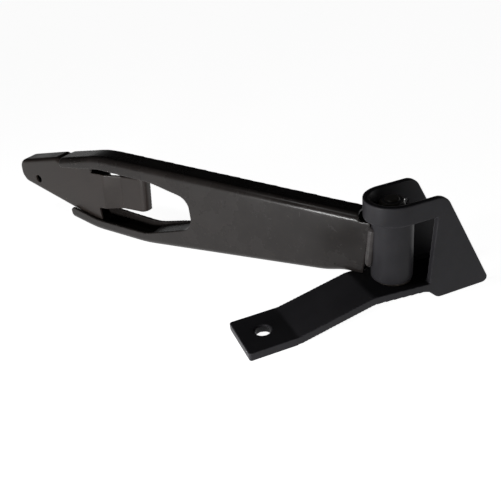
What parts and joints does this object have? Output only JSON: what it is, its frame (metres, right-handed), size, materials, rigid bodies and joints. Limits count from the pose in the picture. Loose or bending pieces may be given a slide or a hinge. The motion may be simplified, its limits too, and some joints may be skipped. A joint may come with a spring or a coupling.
{
  "type": "gravity gate latch",
  "caption": "Gravity gate latch: a slotted box-section arm with a joggled tongue swings on a barrel in a bent steel bracket.",
  "frame": {"origin": "centre of the foot's bolt hole, on the mounting face", "axes": "+X along the strap from the bolt hole to the pivot, +Z out of the mounting face along the pivot axis"},
  "size_m": [0.2753, 0.3015, 0.0735],
  "materials": {
    "bracket_paint": "satin black",
    "arm_paint": "satin black, slightly worn",
    "tip_paint": "satin black, slightly worn",
    "weld_paint": "satin black over weld ripples",
    "fastener_black": "black zinc",
    "bare_steel": "greased",
    "bronze": "oiled",
    "nylon": "matte"
  },
  "bodies": {
    "bracket": {"mounting_strap": "bracket_paint", "gusset_yoke": "bracket_paint", "cheek_welds": "weld_paint", "thrust_seat": "fastener_black", "head_washer": "fastener_black", "pivot_bolt": "fastener_black", "spacer_sleeve": "bare_steel", "top_washer": "fastener_black", "pivot_nut": "fastener_black", "nut_lock_ring": "nylon"},
    "arm": {"arm_channel": "arm_paint", "arm_rear_plate": "arm_paint", "slot_web": "arm_paint", "pivot_barrel": "arm_paint", "lower_bush": "bronze", "upper_bush": "bronze", "barrel_welds": "weld_paint", "seam_stitches": "weld_paint", "tip_piece": "tip_paint", "tip_back_plate": "tip_paint", "tip_welds": "weld_paint"}
  },
  "joints": [
    {"name": "arm_swing", "type": "hinge", "parent": "bracket", "child": "arm", "pos_m": [0.0927, 0, 0.0376], "axis": [0, 0, 1], "range_deg": [-36, 134]}
  ]
}
